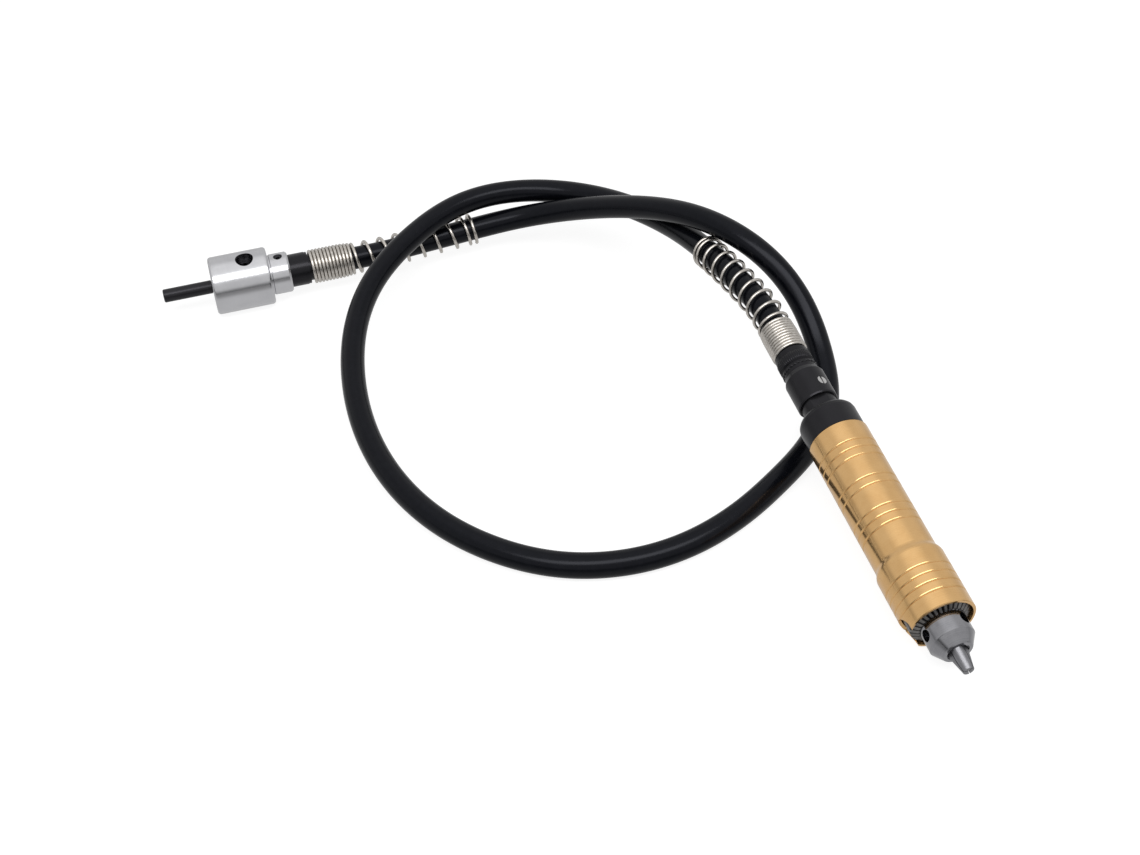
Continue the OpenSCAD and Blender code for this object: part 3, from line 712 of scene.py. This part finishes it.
def swept(path: np.ndarray, radius: float, sides: int, out: np.ndarray | None = None) -> Surface:
    """Sweep a circle along a path.

    Args:
        path: Points of the middle line, in millimetres.
        radius: Radius of the circle.
        sides: Points round the circle.
        out: Direction at each point that the first radius leans to; the
            frame stands upright where it is left out.

    Returns:
        The tube's surface, with both ends closed.
    """
    ahead = unit(np.gradient(path, axis=0))
    if out is None:
        side = unit(np.cross(ahead, np.array([0.0, 0.0, 1.0])))
    else:
        side = unit(np.cross(ahead, out))
    top = np.cross(side, ahead)
    angle = np.linspace(0.0, 2.0 * np.pi, sides, endpoint=False)
    across = np.cos(angle)[None, :, None] * side[:, None, :]
    upward = np.sin(angle)[None, :, None] * top[:, None, :]
    return Surface(path[:, None, :] + radius * (across + upward), distances(path))


@dataclass
class Route:
    """The sheath's middle line, a uniform cubic B-spline on control points."""

    control: np.ndarray
    steps: int = 16

    @classmethod
    def of_sheath(cls) -> "Route":
        """Return the route from the coupler's ferrule to the handpiece's."""
        ahead = np.arange(STRAIGHT_POINTS)
        lead = np.array(LEAD_START) + np.outer(ahead * LEAD_STEP, [1.0, 0.0, 0.0])
        ends = SHOULDER + SHEATH_SEAT - ahead[::-1] * TAIL_STEP
        tail = HANDLE.place(np.outer(ends, [0.0, 0.0, 1.0]))
        return cls(np.vstack([lead, np.array(FREE_ROUTE, dtype=float), tail]))

    @cached_property
    def points(self) -> np.ndarray:
        """Return points along the whole route."""
        c = self.control
        held = np.vstack([2 * c[0] - c[1], c, 2 * c[-1] - c[-2]])
        t = np.linspace(0.0, 1.0, self.steps, endpoint=False)[:, None]
        middle = (3 * t**3 - 6 * t**2 + 4, -3 * t**3 + 3 * t**2 + 3 * t + 1)
        weights = np.hstack([(1 - t) ** 3, *middle, t**3]) / 6
        windows = np.stack([held[i : len(held) - 3 + i] for i in range(4)], axis=1)
        curve = np.einsum("tw,swc->stc", weights, windows).reshape(-1, 3)
        return np.vstack([curve, c[-1]])

    def turned_round(self) -> "Route":
        """Return the same route from its other end."""
        return Route(self.control[::-1].copy(), self.steps)

    @cached_property
    def runs(self) -> np.ndarray:
        """Return the distance along the route at each point."""
        return distances(self.points)

    def at(self, run: np.ndarray) -> np.ndarray:
        """Return the points at given distances along the route."""
        columns = [np.interp(run, self.runs, column) for column in self.points.T]
        return np.stack(columns, axis=-1)


# ---------------------------------------------------------------- pieces


@dataclass
class FlexShaft:
    """The sheath, swept along its route."""

    wardrobe: Wardrobe
    route: Route
    sides: int = 48
    ring_step: float = 1.4

    def build(self) -> None:
        path = self.route.at(np.arange(0.0, self.route.runs[-1], self.ring_step))
        path = np.vstack([path, self.route.points[-1]])
        sheath = swept(path, SHEATH_D / 2, self.sides).to_object("sheath_skin")
        sheath.data.materials.append(self.wardrobe.material(RUBBER))
        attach(sheath, "housing")
        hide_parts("sheath")
        float(self.route.runs[-1]) * MM


@dataclass
class Spring:
    """A strain-relief spring of one round wire, wound round one end of the sheath.

    Attributes:
        name: Name of the piece.
        node: CAD node that it replaces.
        route: The route, starting at the sheath's end in the ferrule.
        start: Angle of the wire's first point, in degrees.
        wire_d: Thickness of the wire.
        closed_r: Radius of the wire's middle in the touching turns.
        lay: Turns counted from the ferrule, each with the wire's distance from
            the ferrule's shoulder; the first two bound the touching turns.
        open_r: Radius of the wire's middle in the spread turns.
        rings: Rings of the wire's mesh in one turn.
        sides: Points round the wire.
        easing: Turns on either side over which the wire's climb is averaged.
        aim: Distance on either side that sets the direction of the route.
    """

    name: str
    node: str
    route: Route
    start: float
    wire_d: float
    closed_r: float
    lay: tuple[tuple[float, float], ...]
    open_r: float = 6.5
    rings: int = 40
    sides: int = 14
    easing: float = 0.18
    aim: float = 0.8

    def rise(self, turn: np.ndarray) -> np.ndarray:
        """Return the wire's distance from the ferrule shoulder, by turn."""
        turns, rises = np.array(self.lay).T
        return np.interp(turn, turns, rises)

    def radius(self, turn: np.ndarray) -> np.ndarray:
        """Return the coil's radius by turn, narrowing as the turns spread."""
        closed = self.lay[1][0]
        narrowing = [closed - 2.5, closed + 1.0]
        return np.interp(turn, narrowing, [self.closed_r, self.open_r])

    def build(self, wardrobe: Wardrobe) -> None:
        """Wind the wire and give it its finish."""
        turn = np.arange(0.0, self.lay[-1][0], 1.0 / self.rings)
        shifts = np.linspace(-self.easing, self.easing, 9)
        run = SHEATH_SEAT + sum(self.rise(turn + shift) for shift in shifts) / len(shifts)
        middle = self.route.at(run)
        ahead = unit(self.route.at(run + self.aim) - self.route.at(run - self.aim))
        side = unit(np.cross(ahead, np.array([0.0, 0.0, 1.0])))
        top = np.cross(side, ahead)
        angle = np.radians(self.start) + 2.0 * np.pi * turn
        out = np.cos(angle)[:, None] * top + np.sin(angle)[:, None] * side
        coil = middle + self.radius(turn)[:, None] * out
        wire = swept(coil, self.wire_d / 2, self.sides, out).to_object(self.name)
        wire.data.materials.append(wardrobe.material(SPRING_STEEL))
        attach(wire, "housing")
        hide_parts(self.node)


@dataclass(frozen=True)
class Knurl:
    """A band of straight ridges rolled round a turned piece.

    Attributes:
        name: Name of the piece.
        finish: Finish of the turned piece.
        low: Lower end of the band along the piece's own axis.
        high: Upper end.
        radius: Radius of the turned piece under the band.
        ridges: Ridges round the piece.
        depth: Height of a ridge.
        steps: Points round the piece for each ridge.
        bevel: Length of the slope at either end of the ridges.
        sunk: Depth of the band's foot inside the turned piece.
    """

    name: str
    finish: Metal
    low: float
    high: float
    radius: float
    ridges: int
    depth: float = 0.22
    steps: int = 8
    bevel: float = 0.12
    sunk: float = 0.3

    def surface(self) -> Surface:
        """Return the band: a ring whose outer radius rises and falls as a cosine."""
        angle = np.linspace(0.0, 2.0 * np.pi, self.ridges * self.steps, endpoint=False)
        ridge = self.depth * (0.5 + 0.5 * np.cos(self.ridges * angle))
        slope = [self.low, self.low, self.low + self.bevel]
        heights = np.array(slope + [self.high - self.bevel, self.high, self.high])
        share = np.array([0.0, 0.0, 1.0, 1.0, 0.0, 0.0])
        base = np.array([-self.sunk, 0.02, 0.06, 0.06, 0.02, -self.sunk])
        radii = self.radius + base[:, None] + share[:, None] * ridge[None, :]
        points = np.stack([
            radii * np.cos(angle),
            radii * np.sin(angle),
            np.broadcast_to(heights[:, None], radii.shape),
        ], axis=-1)
        return Surface(self.finish.placement.place(points), heights, ring=True)

    def build(self, wardrobe: Wardrobe) -> None:
        """Make the band and give it its finish."""
        band = self.surface().to_object(self.name)
        band.data.materials.append(wardrobe.material(self.finish))
        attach(band, "housing")


FERRULE_BANDS = (
    Knurl("ferrule_knurl", BLACK_FERRULE_HANDLE, low=-43.4, high=-39.3, radius=7.0, ridges=52),
    Knurl(
        "ferrule_ticks", BLACK_FERRULE_HANDLE,
        low=-37.6, high=-36.6, radius=7.0, ridges=28, depth=0.3,
    ),
)


# ---------------------------------------------------------------- stage


@dataclass(frozen=True)
class Shot:
    """The camera: where it stands, where it looks and its lens."""

    place: tuple[float, float, float] = (-97.65, -529.08, 507.26)
    right: tuple[float, float, float] = (0.96464, -0.25838, -0.05206)
    up: tuple[float, float, float] = (0.21111, 0.63918, 0.73952)
    lens_mm: float = 57.54
    sensor_mm: float = 36.0
    near: float = 0.02

    def build(self) -> None:
        """Make the camera and set it as the scene's own."""
        data = bpy.data.cameras.new("camera")
        data.lens = self.lens_mm
        data.sensor_width = self.sensor_mm
        data.clip_start = self.near
        camera = bpy.data.objects.new("camera", data)
        bpy.context.scene.collection.objects.link(camera)
        right, top = np.array(self.right), np.array(self.up)
        back = np.cross(right, top)
        turn = Matrix([list(row) for row in np.stack([right, top, back], axis=1)])
        camera.matrix_world = Matrix.Translation(Vector(self.place) * MM) @ turn.to_4x4()
        bpy.context.scene.camera = camera


@dataclass(frozen=True)
class Softbox:
    """A rectangular area light, with its place and aim in metres."""

    name: str
    place: tuple[float, float, float]
    size: tuple[float, float]
    watts: float
    target: tuple[float, float, float]

    def build(self) -> None:
        """Make the light and aim it."""
        data = bpy.data.lights.new(self.name, "AREA")
        data.shape = "RECTANGLE"
        data.size, data.size_y = self.size
        data.energy = self.watts
        light = bpy.data.objects.new(self.name, data)
        aim = Vector(self.target) - Vector(self.place)
        light.rotation_euler = aim.to_track_quat("-Z", "Y").to_euler()
        light.location = self.place
        bpy.context.scene.collection.objects.link(light)


@dataclass(frozen=True)
class Stage:
    """The floor, the surroundings and the light.

    Attributes:
        light: The light above the object.
        floor_size: Side of the square floor, in metres.
        floor_seen: How bright the camera sees the floor.
        floor_mirrored: How bright the floor is in reflections from above.
        fill: Light of the surroundings on matt surfaces.
        around: How bright the surroundings are in reflections.
        open_side: The same toward the back and the right.
        zenith: How much brighter they are straight above.
        horizon: How bright the horizon is in front.
        side_horizon: How bright it is toward the back.
    """

    light: Softbox = Softbox(
        "top_light", (0.0, -0.555, 1.2), size=(1.6, 0.59), watts=11.5, target=(0.0, -0.555, 0.0)
    )
    floor_size: float = 6.0
    floor_seen: float = 0.87
    floor_mirrored: float = 0.52
    fill: float = 0.35
    around: float = 0.80
    open_side: float = 0.74
    zenith: float = 0.35
    horizon: float = 0.08
    side_horizon: float = 0.45

    def build(self) -> None:
        """Make the floor, world and light."""
        bpy.context.scene.view_settings.view_transform = "Standard"
        self.light.build()
        self._floor()
        self._world()

    def _floor(self) -> None:
        """Make the floor, which is white to the camera and duller in reflections."""
        half = self.floor_size / 2
        corners = [(-half, -half), (half, -half), (half, half), (-half, half)]
        mesh = bpy.data.meshes.new("floor")
        mesh.from_pydata([(x, y, FLOOR_HEIGHT) for x, y in corners], [], [(0, 1, 2, 3)])
        floor = bpy.data.objects.new("floor", mesh)
        bpy.context.scene.collection.objects.link(floor)
        shader = Shader("white_floor")
        fibre = shader.noise(shader.object_mm(), 0.02, detail=2.0)
        incoming = shader.wire(shader.node("NewGeometry"), "Incoming")
        parts = shader.node("SeparateXYZ", {0: incoming})
        toward_back, rise = shader.wire(parts, 1) * -1.0, shader.wire(parts, 2)
        skirt = self._skirt(shader, toward_back)
        grazing = shader.ramp(rise, 0.1, 0.46, skirt, self.floor_mirrored)
        mirrored = shader.rays("Glossy", "Transmission") * grazing
        mesh.materials.append(shader.finish(
            Base_Color=shader.blend(fibre, (0.29, 0.29, 0.29), (0.31, 0.31, 0.31)),
            Roughness=0.9,
            Specular_IOR_Level=0.1,
            Emission_Color=(*WHITE, 1.0),
            Emission_Strength=shader.rays("Camera") * self.floor_seen + mirrored,
        ))

    def _skirt(self, graph: Graph, toward_back: Wire) -> Wire:
        """Return how bright the horizon is: dark in front, lighter toward the back."""
        return graph.ramp(toward_back, -0.8, 0.2, self.horizon, self.side_horizon)

    def _world(self) -> None:
        """Surround the object with white that darkens to the front and left horizon."""
        world = bpy.data.worlds.new("studio")
        bpy.context.scene.world = world
        graph = Graph(world)
        parts = graph.node("SeparateXYZ", {0: graph.wire(graph.node("TexCoord"), "Generated")})
        x, y, z = (graph.wire(parts, axis) for axis in range(3))
        lifted = graph.ramp(z, 0.0, 0.28, self._skirt(graph, y), self.around)
        open_side = graph.ramp(x + y * 0.6, -0.2, 0.2, 0.0, self.open_side)
        mirrored = graph.maximum(lifted, open_side) + graph.ramp(z, 0.7, 0.96, 0.0, self.zenith)
        glossy = graph.rays("Glossy", "Transmission")
        lit = mirrored * glossy + (1.0 - glossy) * self.fill
        strength = graph.maximum(lit, graph.rays("Camera"))
        around = graph.node("Background", {"Color": (1.0, 1.0, 1.0, 1.0), "Strength": strength})
        graph.node("OutputWorld", {"Surface": graph.wire(around)})


# ---------------------------------------------------------------- main


def springs(route: Route) -> tuple[Spring, Spring]:
    """Return the springs at the coupler and at the handpiece."""
    drive_lay = (
        (0, 0.85), (11.5, 19.1), (12.5, 20.9), (13.5, 27.7), (16.5, 50.1),
        (19.5, 73.5), (20.5, 77.0), (20.9, 77.8),
    )
    handle_lay = (
        (0, 0.95), (10.25, 15.2), (11.25, 18.1), (12.25, 24.7), (14.25, 38.5),
        (18.25, 67.9), (19.25, 73.5), (20.25, 75.4), (20.5, 75.9),
    )
    drive = Spring(
        "drive_spring_wire", "drive_spring", route,
        start=200.0, wire_d=1.5, closed_r=7.05, lay=drive_lay,
    )
    handle = Spring(
        "handle_spring_wire", "handle_spring", route.turned_round(),
        start=258.0, wire_d=1.38, closed_r=6.75, lay=handle_lay,
    )
    return drive, handle


def main() -> None:
    """Dress the CAD nodes and make everything that CAD leaves to this script."""
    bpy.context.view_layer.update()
    Shot().build()
    wardrobe = Wardrobe()
    route = Route.of_sheath()
    FlexShaft(wardrobe, route).build()
    for spring in springs(route):
        spring.build(wardrobe)
    for band in FERRULE_BANDS:
        band.build(wardrobe)
    for name, finish in NODE_FINISHES.items():
        wardrobe.dress(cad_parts[name], finish)
        LOG.info("%s: %s", name, finish.name)
    Stage().build()


if __name__ == "__main__":
    main()
